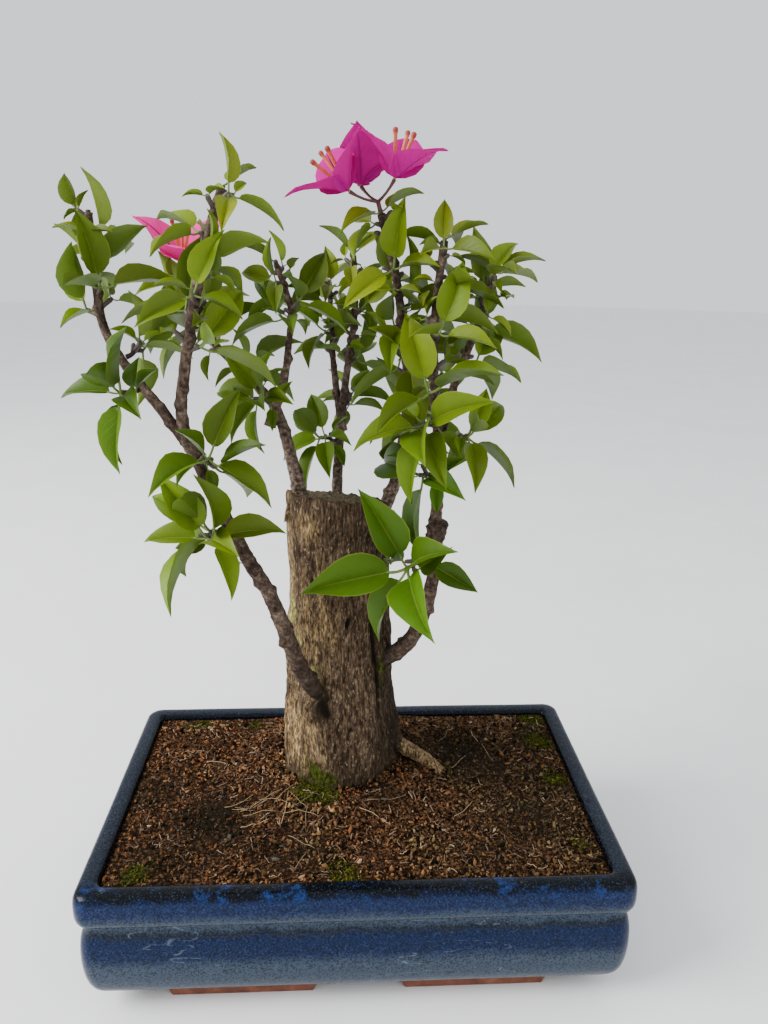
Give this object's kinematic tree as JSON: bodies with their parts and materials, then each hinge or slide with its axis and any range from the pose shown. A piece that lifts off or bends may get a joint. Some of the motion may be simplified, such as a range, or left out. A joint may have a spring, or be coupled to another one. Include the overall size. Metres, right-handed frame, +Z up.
{
  "type": "bougainvillea bonsai",
  "caption": "Bougainvillea bonsai: a thick cut-back trunk with rising leafy boughs and pink bracts, in soil in a low rectangular glazed tray pot on feet.",
  "frame": {"origin": "on the ground under the middle of the pot, level with the underside of its feet", "axes": "+Z up; +X along the pot's long side, to the right in the front view; the front faces -Y"},
  "size_m": [0.24, 0.148, 0.366],
  "materials": {
    "glaze": "gloss",
    "biscuit": "matte",
    "soil": "matte",
    "old_bark": "matte",
    "young_bark": "matte",
    "leaf": "satin",
    "bract": "matte"
  },
  "bodies": {
    "root": {"pot": "glaze", "foot_front_left": "biscuit", "foot_front_right": "biscuit", "foot_back_left": "biscuit", "foot_back_right": "biscuit", "soil": "soil", "trunk": "old_bark", "bough_lower_left": "young_bark", "bough_left_outer": "young_bark", "bough_top_left": "young_bark", "bough_riser": "young_bark", "bough_middle": "young_bark", "bough_middle_left": "young_bark", "bough_top_right": "young_bark", "bough_lower_right": "young_bark", "bough_right_outer": "young_bark", "foliage_left_outer": "leaf", "foliage_left_inner": "leaf", "foliage_top_left": "leaf", "foliage_riser": "leaf", "foliage_middle_left": "leaf", "foliage_middle": "leaf", "foliage_top_right": "leaf", "foliage_right_inner": "leaf", "foliage_right_outer": "leaf", "foliage_left_fork": "leaf", "foliage_left_rise": "leaf", "foliage_lower_left": "leaf", "foliage_fork_right": "leaf", "foliage_top_left_low": "leaf", "foliage_top_left_mid": "leaf", "foliage_middle_low": "leaf", "foliage_middle_back": "leaf", "foliage_back_right": "leaf", "foliage_right_front": "leaf", "foliage_right_low": "leaf", "foliage_right_side": "leaf", "foliage_lower_right": "leaf", "bloom_top": "bract", "bloom_left": "bract"}
  },
  "joints": []
}
